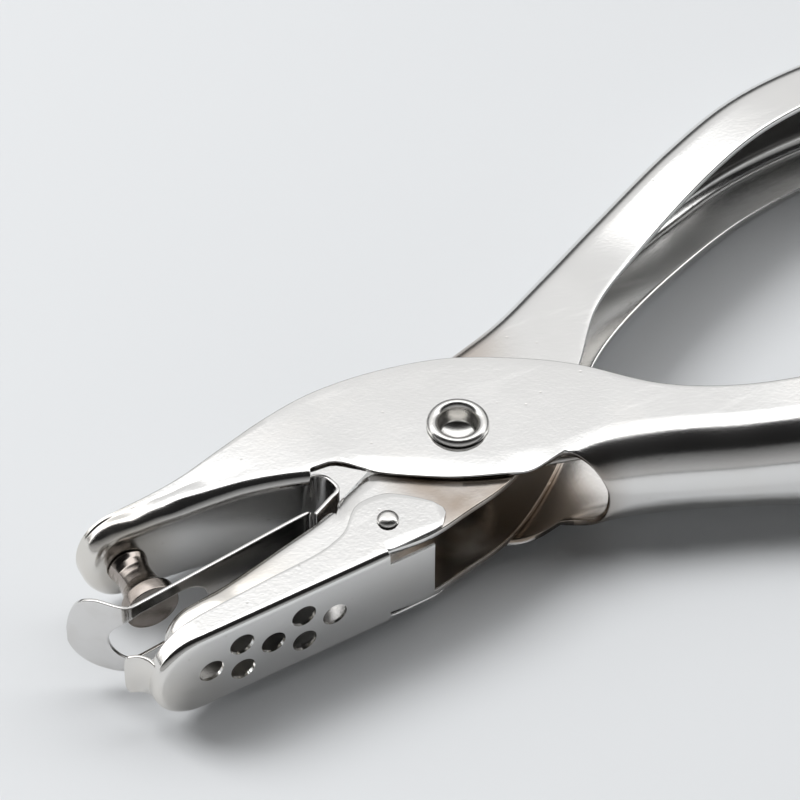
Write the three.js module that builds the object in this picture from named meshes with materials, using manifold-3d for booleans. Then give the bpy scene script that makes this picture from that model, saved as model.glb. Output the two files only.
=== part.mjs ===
// A hand-held single-hole punch: two stamped channel levers crossing on a rivet, a punch pin in the
// upper jaw, a die hole in the lower jaw, a leaf stripper between them and a perforated chip tray.
// Millimetres. +X runs from the jaws to the handles, +Y from the die jaw to the punch jaw, and Z is
// the tool's width. The pivot axis is the Z axis. The pieces are made about the tool's middle plane, and
// the whole is then raised so that Z = 0 is the flat of the pivot rivet's head, which it lies on.
import * as THREE from "three";
import { mergeVertices } from "three/addons/utils/BufferGeometryUtils.js";
import Module from "manifold-3d";

const wasm = await Module();
wasm.setup();

// Driving dimensions.
const SHEET = 0.8; // lever sheet
const PUNCH_HALF = 6.05; // half the outer width of the punch lever
const DIE_HALF = 5.1; // half the outer width of the die lever, which runs inside
const GRIP_HALF = 7.2; // both handles widen to this
const PIN_RADIUS = 2.95; // cutting end, for a 6 mm hole
const PIN_X = -36.85; // the pin's axis, seen from the pivot
const PIN_TIP_Y = -3.2;
const NECK_RADIUS = 1.9;
const TENON_RADIUS = 1.3;
const LEAF = 0.4; // spring strip
const LEAF_HALF = 4.9;
const RIVET_RADIUS = 2.5; // pivot rivet shank
const RING_RADIUS = 3.3; // its rolled ring and its factory head
const HEAD_HEIGHT = 1.1; // the factory head, which the tool lies on
const HEAD_FLAT = 2;
const TRAY_SHEET = 0.35;
const TRAY_HALF = 5.6;
const TRAY_RIVET = [-12.2, -7.9]; // the hinge on which the tray swings
const TRAY_SHANK = 0.7; // radius
const CLEARANCE = 0.3; // between pieces that touch on the real tool
const FIT = 0.15; // between flat faces that slide on each other
const BEYOND = 9; // past the outside of both levers, for a hole right through them

// ---- Geometry helpers ----

const lerp = (a, b, t) => a + (b - a) * t;

function solidOf(geometry) {
  const bare = geometry.clone();
  bare.deleteAttribute("normal");
  bare.deleteAttribute("uv");
  const merged = mergeVertices(bare, 1e-4);
  return new wasm.Manifold(
    new wasm.Mesh({
      numProp: 3,
      vertProperties: merged.attributes.position.array,
      triVerts: new Uint32Array(merged.index.array),
    }),
  );
}

function geometryOf(solid) {
  const mesh = solid.getMesh();
  const positions = new Float32Array(mesh.numVert * 3);
  for (let i = 0; i < mesh.numVert; i++) {
    positions.set(mesh.vertProperties.subarray(i * mesh.numProp, i * mesh.numProp + 3), i * 3);
  }
  const geometry = new THREE.BufferGeometry();
  geometry.setAttribute("position", new THREE.BufferAttribute(positions, 3));
  geometry.setIndex(new THREE.BufferAttribute(mesh.triVerts, 1));
  return geometry;
}

// A flat outline in XY, extruded from one height to another.
function plate(points, zLow, zHigh) {
  const shape = new THREE.Shape(points.map(([x, y]) => new THREE.Vector2(x, y)));
  const geometry = new THREE.ExtrudeGeometry(shape, { depth: zHigh - zLow, bevelEnabled: false });
  geometry.translate(0, 0, zLow);
  return solidOf(geometry);
}

// A cylinder along Z between two heights.
function roundBar([x, y], radius, zLow, zHigh, segments = 24) {
  const geometry = new THREE.CylinderGeometry(radius, radius, zHigh - zLow, segments);
  geometry.rotateX(Math.PI / 2);
  geometry.translate(x, y, (zLow + zHigh) / 2);
  return solidOf(geometry);
}

// A cylinder along Y between two heights.
function uprightBar(x, radius, yLow, yHigh, segments = 28) {
  const geometry = new THREE.CylinderGeometry(radius, radius, yHigh - yLow, segments);
  geometry.translate(x, (yLow + yHigh) / 2, 0);
  return solidOf(geometry);
}

// A cubic curve through values given at whole-numbered stations.
function through(values) {
  const at = (i) => values[Math.min(Math.max(i, 0), values.length - 1)];
  return (u) => {
    const i = Math.min(Math.floor(u), values.length - 2);
    const t = u - i;
    const [a, b, c, d] = [at(i - 1), at(i), at(i + 1), at(i + 2)];
    const slopeB = i === 0 ? c - b : (c - a) / 2;
    const slopeC = i === values.length - 2 ? c - b : (d - b) / 2;
    const t2 = t * t;
    const t3 = t2 * t;
    const ends = b * (2 * t3 - 3 * t2 + 1) + c * (3 * t2 - 2 * t3);
    return ends + slopeB * (t3 - 2 * t2 + t) + slopeC * (t3 - t2);
  };
}

// ---- Pressed channels ----

// A channel pressed from sheet. Each station gives a point on the web's outer face, the matching point
// on the walls' free edge, the half width and the bend radius. The stations run from the nose, where
// the walls meet round a rounded end, to the far end, which is left open or closed the same way.
// Between the stations windowStart and windowEnd there are only the two walls, and lip is how far above
// the web line their cut edge stands.
class Channel {
  constructor(stations, options) {
    const column = (pick) => through(stations.map(pick));
    this.webX = column((s) => s.web[0]);
    this.webY = column((s) => s.web[1]);
    this.edgeX = column((s) => s.edge[0]);
    this.edgeY = column((s) => s.edge[1]);
    this.half = column((s) => s.half);
    this.bend = column((s) => s.bend);
    this.lip = column((s) => s.lip ?? s.bend);
    this.last = stations.length - 1;
    this.windowStart = options.windowStart;
    this.windowEnd = options.windowEnd;
    this.noseReach = options.noseReach;
    this.tailReach = options.tailReach;
    this.sheet = options.sheet;
    this.steps = options.steps;
    this.capSteps = 7;
  }

  // A point at station u, at height h above the web's outer face, z across.
  point(u, h, z) {
    const x = this.webX(u);
    const y = this.webY(u);
    const dx = this.edgeX(u) - x;
    const dy = this.edgeY(u) - y;
    const length = Math.hypot(dx, dy);
    return new THREE.Vector3(x + (dx / length) * h, y + (dy / length) * h, z);
  }

  height(u) {
    return Math.hypot(this.edgeX(u) - this.webX(u), this.edgeY(u) - this.webY(u));
  }

  // Millimetres along the web per station, near u.
  pace(u) {
    const d = 0.01;
    const low = Math.max(u - d, 0);
    const high = Math.min(u + d, this.last);
    return Math.hypot(this.webX(high) - this.webX(low), this.webY(high) - this.webY(low)) / (high - low);
  }

  // The stations of the grid: the nose's quarter turn, the straight run, then the tail's quarter turn.
  rows() {
    const rows = [];
    const noseAt = this.noseReach / this.pace(0.2);
    const tailAt = this.tailReach ? this.last - this.tailReach / this.pace(this.last - 0.2) : this.last;
    for (let i = 0; i < this.capSteps; i++) {
      const turn = (Math.PI / 2) * (1 - i / this.capSteps);
      rows.push({ base: noseAt, turn, side: -1, reach: this.noseReach });
    }
    const fixed = [noseAt, this.windowStart, this.windowEnd, tailAt].filter((u) => u !== undefined);
    const spacing = (tailAt - noseAt) / this.steps;
    for (let i = 1; i < fixed.length; i++) {
      const count = Math.ceil((fixed[i] - fixed[i - 1]) / spacing);
      for (let k = i === 1 ? 0 : 1; k <= count; k++) {
        rows.push({ base: lerp(fixed[i - 1], fixed[i], k / count), turn: 0, side: 0, reach: 0 });
      }
    }
    if (this.tailReach) {
      for (let i = 1; i <= this.capSteps; i++) {
        const turn = ((Math.PI / 2) * i) / this.capSteps;
        rows.push({ base: tailAt, turn, side: 1, reach: this.tailReach });
      }
    }
    return rows;
  }

  // The columns across the sheet on one side: down the wall, round the bend, along the web to its middle.
  columns() {
    const columns = [];
    for (const f of [0, 0.5, 1]) {
      columns.push({ wall: f, turn: 0, web: 1 });
    }
    for (const turn of [Math.PI / 6, Math.PI / 3, Math.PI / 2]) {
      columns.push({ wall: 1, turn, web: 1 });
    }
    columns.push({ wall: 1, turn: Math.PI / 2, web: 0 });
    return columns;
  }

  place(row, column, inset, side) {
    const radiusHere = this.bend(row.base) - inset;
    const cut = radiusHere * (1 - Math.cos(column.turn));
    const reach = row.reach - inset - cut;
    const pace = row.side ? this.pace(row.base) : 1;
    const u = row.base + (row.side * reach * Math.sin(row.turn)) / pace;
    const uIn = Math.min(Math.max(u, 0), this.last);
    const inWindow = row.base > this.windowStart && row.base < this.windowEnd;
    const bendHere = this.bend(row.base);
    const wallFoot = inWindow ? this.lip(uIn) : bendHere;
    let h;
    if (column.turn === 0) {
      h = lerp(this.height(uIn), wallFoot, column.wall);
    } else {
      h = bendHere - radiusHere * Math.sin(column.turn);
    }
    const z = (this.half(row.base) - inset - cut) * Math.cos(row.turn) * column.web;
    return this.point(uIn, h, side * z);
  }

  solid() {
    const rows = this.rows();
    const oneSide = this.columns();
    const across = [
      ...oneSide.map((c) => [c, 1]),
      ...oneSide.slice(0, -1).reverse().map((c) => [c, -1]),
    ];
    const grid = (inset) => rows.map((row) => across.map(([c, side]) => this.place(row, c, inset, side)));
    const outer = grid(0);
    const inner = grid(this.sheet);
    const wallColumns = oneSide.filter((c) => c.turn === 0).length;
    const kept = (i, j) => {
      const middle = (rows[i].base + rows[i + 1].base) / 2;
      const inWindow = middle > this.windowStart && middle < this.windowEnd;
      const onWall = j < wallColumns - 1 || j >= across.length - wallColumns;
      return !inWindow || onWall;
    };
    return closedSheet(outer, inner, kept, Boolean(this.tailReach));
  }
}

// A closed solid between two matching grids of points, made of the cells that are kept. The first row
// folds onto itself, and so does the last one when tailClosed, so neither has a rim.
function closedSheet(outer, inner, kept, tailClosed) {
  const positions = [];
  const quad = (a, b, c, d) => {
    for (const p of [a, b, c, a, c, d]) {
      positions.push(p.x, p.y, p.z);
    }
  };
  const rowCount = outer.length - 1;
  const columnCount = outer[0].length - 1;
  const isKept = (i, j) => i >= 0 && j >= 0 && i < rowCount && j < columnCount && kept(i, j);
  for (let i = 0; i < rowCount; i++) {
    for (let j = 0; j < columnCount; j++) {
      if (!isKept(i, j)) {
        continue;
      }
      quad(outer[i][j], outer[i][j + 1], outer[i + 1][j + 1], outer[i + 1][j]);
      quad(inner[i][j], inner[i + 1][j], inner[i + 1][j + 1], inner[i][j + 1]);
      if (!isKept(i, j - 1)) {
        quad(outer[i][j], outer[i + 1][j], inner[i + 1][j], inner[i][j]);
      }
      if (!isKept(i, j + 1)) {
        quad(outer[i + 1][j + 1], outer[i][j + 1], inner[i][j + 1], inner[i + 1][j + 1]);
      }
      if (!isKept(i - 1, j) && i > 0) {
        quad(outer[i][j + 1], outer[i][j], inner[i][j], inner[i][j + 1]);
      }
      if (!isKept(i + 1, j) && (i + 1 < rowCount || !tailClosed)) {
        quad(outer[i + 1][j], outer[i + 1][j + 1], inner[i + 1][j + 1], inner[i + 1][j]);
      }
    }
  }
  const geometry = new THREE.BufferGeometry();
  geometry.setAttribute("position", new THREE.Float32BufferAttribute(positions, 3));
  const merged = mergeVertices(geometry, 1e-3);
  const index = merged.index.array;
  const tidy = [];
  for (let i = 0; i < index.length; i += 3) {
    const [a, b, c] = [index[i], index[i + 1], index[i + 2]];
    if (a !== b && b !== c && a !== c) {
      tidy.push(a, b, c);
    }
  }
  const mesh = { numProp: 3, vertProperties: merged.attributes.position.array };
  let solid = new wasm.Manifold(new wasm.Mesh({ ...mesh, triVerts: new Uint32Array(tidy) }));
  if (solid.volume() < 0) {
    const turned = [];
    for (let i = 0; i < tidy.length; i += 3) {
      turned.push(tidy[i], tidy[i + 2], tidy[i + 1]);
    }
    solid = new wasm.Manifold(new wasm.Mesh({ ...mesh, triVerts: new Uint32Array(turned) }));
  }
  return solid;
}

// ---- Punch lever: the outer channel, with the upper jaw and the lower handle ----

const punchChannel = new Channel(
  [
    { web: [-42.3, 3.1], edge: [-42.3, 6.2], half: 5.4, bend: 1.8 },
    { web: [-36.9, 3.15], edge: [-36.9, 6.1], half: 5.45, bend: 1.8 },
    { web: [-30, 2.95], edge: [-29.8, 6.9], half: 5.6, bend: 1.8 },
    { web: [-23.5, 2.3], edge: [-23.9, 8.4], half: 5.9, bend: 1.6 },
    { web: [-17.4, 0.7], edge: [-17.6, 10.1], half: PUNCH_HALF, bend: 1.4, lip: 1.1 },
    { web: [-13, -1.4], edge: [-11.5, 11.1], half: PUNCH_HALF, bend: 1.3, lip: 2.3 },
    { web: [-7.5, -4.7], edge: [-4.5, 10.8], half: PUNCH_HALF, bend: 1.3, lip: 1 },
    { web: [-1, -8], edge: [3, 9.1], half: PUNCH_HALF, bend: 1.3, lip: 1 },
    { web: [5, -10.1], edge: [9.5, 5.9], half: PUNCH_HALF, bend: 1.6, lip: 1 },
    { web: [11, -11.9], edge: [15.2, 2], half: PUNCH_HALF, bend: 4.7, lip: 1.6 },
    { web: [18, -14.2], edge: [22, -4.5], half: PUNCH_HALF, bend: 5.4 },
    { web: [26.5, -17.6], edge: [29.8, -8.7], half: 6.15, bend: 5.4 },
    { web: [37, -21.6], edge: [39.7, -12.1], half: 6.9, bend: 5.5 },
    { web: [50, -25.2], edge: [51.6, -15.6], half: GRIP_HALF, bend: 5.5 },
    { web: [64, -27.2], edge: [64.4, -17.9], half: GRIP_HALF, bend: 5.5 },
    { web: [76, -27.2], edge: [75.4, -18.9], half: 7, bend: 5.3 },
    { web: [85, -26.2], edge: [84, -19.6], half: 6.6, bend: 5 },
  ],
  { windowStart: 4, windowEnd: 9, noseReach: 5.4, tailReach: 5.5, sheet: SHEET, steps: 46 },
);

function punchLever() {
  const mouth = uprightBar(0, 3.4, -20, 0).scale([1, 1, 1.2]).translate([9.2, 0, 0]);
  return punchChannel
    .solid()
    .subtract(roundBar([0, 0], RIVET_RADIUS + FIT, -BEYOND, BEYOND))
    .subtract(uprightBar(PIN_X, TENON_RADIUS + FIT, 0, 5))
    .subtract(mouth);
}

// ---- Die lever: the inner channel, with the lower jaw and the upper handle ----

const dieChannel = new Channel(
  [
    { web: [-40.3, -9.2], edge: [-40.3, -12.5], half: 5, bend: 1.3 },
    { web: [-36.2, -8.05], edge: [-36.2, -12.45], half: DIE_HALF, bend: 1.3 },
    { web: [-30, -6.95], edge: [-30, -12.1], half: DIE_HALF, bend: 1.3 },
    { web: [-23.5, -5.25], edge: [-23.5, -11.75], half: DIE_HALF, bend: 1.3 },
    { web: [-17.2, -3.4], edge: [-15, -11.25], half: DIE_HALF, bend: 1.3, lip: 0.6 },
    { web: [-12.6, -0.7], edge: [-9.2, -11.3], half: DIE_HALF, bend: 1.3, lip: 0.6 },
    { web: [-7.4, 2.6], edge: [-4.2, -10.2], half: DIE_HALF, bend: 1.3, lip: 0.8 },
    { web: [-2.6, 7.6], edge: [2, -8.4], half: DIE_HALF, bend: 1.5, lip: 1 },
    { web: [3.6, 10.2], edge: [8.6, -4.1], half: DIE_HALF, bend: 2, lip: 1.5 },
    { web: [10.6, 12.7], edge: [15.6, 2.3], half: DIE_HALF, bend: 2.2 },
    { web: [18, 16.3], edge: [21.8, 9.3], half: DIE_HALF, bend: 2.2 },
    { web: [27, 20.9], edge: [30, 14.4], half: 5.2, bend: 2.3 },
    { web: [39.6, 26.4], edge: [42, 20], half: 6.4, bend: 2.4 },
    { web: [50.2, 29.7], edge: [51.4, 22.9], half: 7.1, bend: 2.4 },
    { web: [62, 30.7], edge: [61.8, 23.9], half: GRIP_HALF, bend: 2.4 },
    { web: [74, 29.3], edge: [73.2, 22.9], half: GRIP_HALF, bend: 2.4 },
    { web: [84, 27.2], edge: [83, 21.6], half: 6.7, bend: 2.2 },
  ],
  { windowStart: 4, windowEnd: 8, noseReach: 4.9, tailReach: 4.9, sheet: SHEET, steps: 46 },
);

function dieLever() {
  return dieChannel
    .solid()
    .subtract(roundBar([0, 0], RIVET_RADIUS + FIT, -BEYOND, BEYOND))
    .subtract(uprightBar(PIN_X + 0.9, PIN_RADIUS + CLEARANCE, -11, -5))
    .subtract(roundBar(TRAY_RIVET, TRAY_SHANK + FIT, -BEYOND, BEYOND, 12));
}

// ---- Punch pin: waisted cutter with a tenon riveted over inside the jaw ----

function punchPin() {
  const webUnder = punchChannel.point(1, 0, 0).y - FIT;
  const webOver = punchChannel.point(1, SHEET, 0).y + FIT;
  const headBase = webOver + LEAF + FIT;
  const profile = [
    [0, PIN_TIP_Y],
    [PIN_RADIUS, PIN_TIP_Y],
    [PIN_RADIUS, PIN_TIP_Y + 1.6],
    [PIN_RADIUS - 0.5, PIN_TIP_Y + 2.1],
    [NECK_RADIUS + 0.15, PIN_TIP_Y + 3.3],
    [NECK_RADIUS, PIN_TIP_Y + 4.4],
    [NECK_RADIUS + 0.2, webUnder],
    [TENON_RADIUS, webUnder],
    [TENON_RADIUS, headBase],
    [2.1, headBase],
    [1.9, headBase + 0.5],
    [1.2, headBase + 0.85],
    [0, headBase + 0.95],
  ];
  const geometry = new THREE.LatheGeometry(profile.map(([r, y]) => new THREE.Vector2(r, y)), 24);
  geometry.translate(PIN_X, 0, 0);
  return solidOf(geometry);
}

// ---- Stripper: one spring strip, hooked over the rear of the punch jaw's web ----

// A strip of the leaf's thickness along a centre line in XY, extruded across Z.
function strip(points, half) {
  const centre = points.map(([x, y]) => new THREE.Vector2(x, y));
  const offset = (side) =>
    centre.map((p, i) => {
      const before = centre[Math.max(i - 1, 0)];
      const after = centre[Math.min(i + 1, centre.length - 1)];
      const along = after.clone().sub(before).normalize();
      return [p.x - (along.y * side * LEAF) / 2, p.y + (along.x * side * LEAF) / 2];
    });
  return plate([...offset(1), ...offset(-1).reverse()], -half, half);
}

const HEEL = [-18.3, -3.05]; // fold between the hairpin and the arm, resting on the die jaw
const LIP_BEND_X = -41.2;
const PADDLE_HALF = 5.6; // the lip is a little wider than the strip

// The arm's plan outline, in X and Z, with the slot that the pin passes through.
function armPlan() {
  const plan = new THREE.Shape();
  plan.moveTo(HEEL[0] + 2, -LEAF_HALF);
  plan.lineTo(HEEL[0] + 2, LEAF_HALF);
  plan.lineTo(-41, LEAF_HALF);
  plan.bezierCurveTo(-43, LEAF_HALF - 0.1, -46.2, 4.6, -46.2, -0.3);
  plan.bezierCurveTo(-46.2, -4, -43, -PADDLE_HALF, -41, -LEAF_HALF);
  plan.closePath();
  const slotHalf = PIN_RADIUS + 0.45;
  const slot = new THREE.Path();
  slot.absarc(-39.2, 0, slotHalf, Math.PI / 2, (3 * Math.PI) / 2, false);
  slot.absarc(-34.6, 0, slotHalf, -Math.PI / 2, Math.PI / 2, false);
  slot.closePath();
  plan.holes.push(slot);
  const geometry = new THREE.ExtrudeGeometry(plan, { depth: 30, bevelEnabled: false, curveSegments: 14 });
  geometry.rotateX(-Math.PI / 2);
  geometry.translate(0, -20, 0);
  return solidOf(geometry);
}

function stripperArm() {
  const centre = [
    [HEEL[0] - CLEARANCE, HEEL[1] + 0.05],
    [-19.6, -2.75],
    [-30, -4.3],
    [-40.2, -5.75],
    [LIP_BEND_X, -5.7],
    [-43, -4.6],
    [-44.8, -3.3],
    [-46.4, -2.3],
  ];
  return strip(centre, LEAF_HALF).intersect(armPlan());
}

const HAIRPIN_HALF = 4.5;
const HAIRPIN_NOSE_HALF = 3.9; // inside the jaw's nose, which is narrower

function stripperHairpin() {
  const leafY = (u) => punchChannel.point(u, SHEET + FIT + LEAF / 2, 0);
  const onWeb = [0.75, 1, 1.6, 2.2, 3, 3.8].map((u) => [leafY(u).x, leafY(u).y]);
  const centre = [
    ...onWeb,
    [-16.4, 1.55],
    [-15.5, 1.35],
    [-14.75, 0.2],
    [-14.45, -0.8],
    [-14.75, -1.35],
    [-15.6, -1.75],
    [-17, -2.55],
    [HEEL[0] + 0.15, HEEL[1] - 0.05],
  ];
  const tenonHole = uprightBar(PIN_X, TENON_RADIUS + FIT, 0, 8, 16);
  const plan = new THREE.Shape();
  plan.moveTo(PIN_X - 6, -HAIRPIN_NOSE_HALF);
  plan.lineTo(-31, -HAIRPIN_NOSE_HALF);
  plan.lineTo(-24, -HAIRPIN_HALF);
  plan.lineTo(0, -HAIRPIN_HALF);
  plan.lineTo(0, HAIRPIN_HALF);
  plan.lineTo(-24, HAIRPIN_HALF);
  plan.lineTo(-31, HAIRPIN_NOSE_HALF);
  plan.lineTo(PIN_X - 6, HAIRPIN_NOSE_HALF);
  plan.closePath();
  const outline = new THREE.ExtrudeGeometry(plan, { depth: 20, bevelEnabled: false });
  outline.rotateX(-Math.PI / 2);
  outline.translate(0, -8, 0);
  return strip(centre, HAIRPIN_HALF).intersect(solidOf(outline)).subtract(tenonHole);
}

// ---- Pivot rivet and return spring ----

function pivotRivet() {
  const out = PUNCH_HALF + FIT;
  const bore = 2.1;
  const profile = [
    [0, -out - HEAD_HEIGHT],
    [HEAD_FLAT, -out - HEAD_HEIGHT],
    [RING_RADIUS - 0.5, -out - 0.75],
    [RING_RADIUS, -out - 0.35],
    [RING_RADIUS, -out],
    [RIVET_RADIUS, -out],
    [RIVET_RADIUS, out],
    [RING_RADIUS - 0.15, out],
    [RING_RADIUS, out + 0.3],
    [RING_RADIUS - 0.3, out + 0.62],
    [RING_RADIUS - 0.7, out + 0.7],
    [bore + 0.15, out + 0.5],
    [bore, out + 0.1],
    [bore, out - 1.7],
    [0, out - 2.3],
  ];
  const geometry = new THREE.LatheGeometry(profile.map(([r, y]) => new THREE.Vector2(r, y)), 32);
  geometry.rotateX(Math.PI / 2);
  return solidOf(geometry);
}

const WIRE = 0.9; // spring wire
const COIL_RADIUS = RIVET_RADIUS + CLEARANCE + WIRE / 2 + 0.2;

// A coil round the rivet with a leg into each handle.
class SpringPath extends THREE.Curve {
  constructor() {
    super();
    this.turns = 3.34;
    this.pitch = WIRE * 1.35;
    this.startAngle = THREE.MathUtils.degToRad(-110);
    this.legShare = 0.16;
    this.legs = [new THREE.Vector3(17.5, -8.2, 0), new THREE.Vector3(18, 13, 0)];
  }

  coil(t) {
    const angle = this.startAngle - t * this.turns * 2 * Math.PI;
    const z = (0.5 - t) * this.turns * this.pitch;
    return new THREE.Vector3(Math.cos(angle) * COIL_RADIUS, Math.sin(angle) * COIL_RADIUS, z);
  }

  getPoint(t) {
    if (t < this.legShare) {
      const foot = this.legs[0].clone().setZ(this.coil(0).z);
      return foot.lerp(this.coil(0), t / this.legShare);
    }
    if (t > 1 - this.legShare) {
      const foot = this.legs[1].clone().setZ(this.coil(1).z);
      return this.coil(1).lerp(foot, (t - 1 + this.legShare) / this.legShare);
    }
    return this.coil((t - this.legShare) / (1 - 2 * this.legShare));
  }
}

function torsionSpring() {
  const section = new THREE.Shape();
  section.absarc(0, 0, WIRE / 2, 0, 2 * Math.PI, false);
  const geometry = new THREE.ExtrudeGeometry(section, {
    steps: 76,
    curveSegments: 4,
    bevelEnabled: false,
    extrudePath: new SpringPath(),
  });
  return solidOf(geometry);
}

// ---- Chip tray: thin perforated cover under the die jaw, hinged on two small rivets ----

const TRAY_REAR = -13.9; // end of its full width; a narrower tongue runs on behind
const TONGUE_HALF = 3.85;
const THUMB_HALF = 2.85;
const HOLE_RADIUS = 1.4;
const HOLE_PITCH = 3.6;
const PROUD = 0.05; // step between sheet areas that are joined, so no two faces lie in one plane
const trayBaseY = (x) => -12.9 + 0.062 * (x + 27.6);

const trayChannel = new Channel(
  [
    [-41.5, -11.7],
    [-38, -11],
    [-34.5, -10.3],
    [-31.5, -9.9],
    [-26, -9.2],
    [-20, -8.5],
    [TRAY_REAR, -7.9],
  ].map(([x, y]) => ({
    web: [x, trayBaseY(x)],
    edge: [x, y],
    half: TRAY_HALF,
    bend: 0.8,
  })),
  { noseReach: 5.5, tailReach: 0, sheet: TRAY_SHEET, steps: 14 },
);

function trayEar(side) {
  const outline = [
    [-20.5, -8.6],
    [-17.2, -7.4],
    [-14.5, -4.75],
    [-13.2, -4.3],
    [-11, -4.4],
    [-8.6, -6],
    [-6.6, -7.9],
    [-6.25, -9],
    [-6.6, -10.4],
    [-7.6, -11],
    [-13.6, -11.45],
    [-20, -11.6],
  ];
  const near = TRAY_HALF - TRAY_SHEET - PROUD;
  const far = TRAY_HALF + PROUD;
  const [low, high] = side > 0 ? [near, far] : [-far, -near];
  return plate(outline, low, high);
}

function trayTongue() {
  const [start, end] = [-15.5, -8.9];
  const outline = [
    [start, trayBaseY(start) + PROUD],
    [end, trayBaseY(end) + PROUD],
    [end, trayBaseY(end) + PROUD + TRAY_SHEET],
    [start, trayBaseY(start) + PROUD + TRAY_SHEET],
  ];
  return plate(outline, -TONGUE_HALF, TONGUE_HALF);
}

function thumbTab() {
  const outline = [
    [-40.7, -12.3],
    [-40.7, -10.8],
    [-43.05, -9.75],
    [-43.15, -10.1],
    [-41.65, -11.03],
    [-41.62, -12.3],
  ];
  return plate(outline, -THUMB_HALF, THUMB_HALF);
}

function chipTray() {
  const pieces = [trayEar(1), trayEar(-1), trayTongue(), thumbTab()];
  let tray = pieces.reduce((whole, piece) => whole.add(piece), trayChannel.solid());
  for (let i = 0; i < 5; i++) {
    const x = -35 + i * HOLE_PITCH;
    for (const z of i % 2 ? [-2, 2] : [0]) {
      tray = tray.subtract(uprightBar(x, HOLE_RADIUS, -16, -10, 14).translate([0, 0, z]));
    }
  }
  return tray.subtract(roundBar(TRAY_RIVET, TRAY_SHANK + FIT, -BEYOND, BEYOND, 12));
}

function trayRivet(side) {
  const profile = [
    [0, 3.55],
    [1.1, 3.6],
    [1.1, DIE_HALF - SHEET - FIT],
    [TRAY_SHANK, DIE_HALF - SHEET - FIT],
    [TRAY_SHANK, TRAY_HALF + FIT],
    [1.15, TRAY_HALF + FIT],
    [0.95, TRAY_HALF + FIT + 0.3],
    [0.5, TRAY_HALF + FIT + 0.5],
    [0, TRAY_HALF + FIT + 0.55],
  ];
  const geometry = new THREE.LatheGeometry(profile.map(([r, y]) => new THREE.Vector2(r, y)), 16);
  geometry.rotateX((side * Math.PI) / 2);
  geometry.translate(TRAY_RIVET[0], TRAY_RIVET[1], 0);
  return solidOf(geometry);
}

// ---- Assembly ----

const FINISH = {
  plate: new THREE.MeshStandardMaterial({ color: 0xd9d8d4, roughness: 0.18, metalness: 1 }),
  tool: new THREE.MeshStandardMaterial({ color: 0x6d6259, roughness: 0.35, metalness: 1 }),
  spring: new THREE.MeshStandardMaterial({ color: 0xb9b8b4, roughness: 0.25, metalness: 1 }),
};

const part = new THREE.Group();
part.position.z = PUNCH_HALF + FIT + HEAD_HEIGHT;

function addPiece(name, solid, finish) {
  const mesh = new THREE.Mesh(geometryOf(solid), FINISH[finish].clone());
  mesh.name = name;
  part.add(mesh);
}

addPiece("punch_lever", punchLever(), "plate");
addPiece("die_lever", dieLever(), "plate");
addPiece("punch_pin", punchPin(), "tool");
addPiece("stripper_arm", stripperArm(), "spring");
addPiece("stripper_hairpin", stripperHairpin(), "spring");
addPiece("pivot_rivet", pivotRivet(), "plate");
addPiece("torsion_spring", torsionSpring(), "spring");
addPiece("chip_tray", chipTray(), "plate");
addPiece("tray_rivet_near", trayRivet(1), "plate");
addPiece("tray_rivet_far", trayRivet(-1), "plate");

export default part;
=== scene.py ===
"""Looks for the single-hole paper punch: pressed nickel-plated levers, pin, stripper strip, rivet, tray.

Lengths in this file are millimetres until a mesh is made. X runs from the jaws to the handles, Y from
the die jaw to the punch jaw, and Z across the tool, measured from its middle plane.
"""
import math

import bmesh
import bpy
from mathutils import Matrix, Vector, noise


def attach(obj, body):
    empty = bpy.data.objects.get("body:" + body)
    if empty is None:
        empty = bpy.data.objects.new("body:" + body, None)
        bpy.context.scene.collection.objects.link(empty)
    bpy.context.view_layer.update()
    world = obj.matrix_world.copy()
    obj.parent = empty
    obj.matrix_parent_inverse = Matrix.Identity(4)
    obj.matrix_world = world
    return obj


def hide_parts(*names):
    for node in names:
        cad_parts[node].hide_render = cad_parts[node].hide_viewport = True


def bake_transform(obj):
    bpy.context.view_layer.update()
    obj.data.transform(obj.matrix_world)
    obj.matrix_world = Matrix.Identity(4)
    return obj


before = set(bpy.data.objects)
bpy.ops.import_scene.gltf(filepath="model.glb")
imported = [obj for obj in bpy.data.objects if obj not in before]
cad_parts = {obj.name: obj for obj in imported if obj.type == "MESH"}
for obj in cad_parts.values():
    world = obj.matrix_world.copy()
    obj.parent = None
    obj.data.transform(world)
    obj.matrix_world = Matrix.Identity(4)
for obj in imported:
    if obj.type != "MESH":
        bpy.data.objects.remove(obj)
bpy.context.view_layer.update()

MM = 0.001
MIDDLE_HEIGHT = 7.3  # the tool's middle plane above the floor, where it lies on its rivet head

SHEET = 0.8
PUNCH_HALF = 6.05
DIE_HALF = 5.1
GRIP_HALF = 7.2
PIN_X = -36.85
DIE_HOLE_X = PIN_X + 0.9  # where the pin comes down when the jaws shut
PIN_RADIUS = 2.95
PIN_TIP_Y = -3.2
NECK_RADIUS = 1.9
LEAF = 0.4
LEAF_HALF = 4.9
TENON_HOLE_RADIUS = 1.45
RIVET_RADIUS = 2.5
RING_RADIUS = 3.3
HEAD_HEIGHT = 1.1
TRAY_SHEET = 0.35
TRAY_HALF = 5.6
TRAY_RIVET = (-12.2, -7.9)
TRAY_RIVET_RADIUS = 0.7
TRAY_RIVET_HOLE = TRAY_RIVET_RADIUS + 0.15
CLEARANCE = 0.3
FIT = 0.15
HEEL = (-18.3, -3.05)
RIM = 0.16  # rounding of the levers' cut edges
THIN_RIM = 0.08  # and of the tray's and the strip's
THUMB_RIM = 0.07
SHARP_ANGLE = 56  # degrees between faces, past which a bored piece is shaded with a sharp edge
BEYOND = 9  # past both sides of the tool, for holes bored right through it


# ---- Camera, floor and light ----

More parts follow.
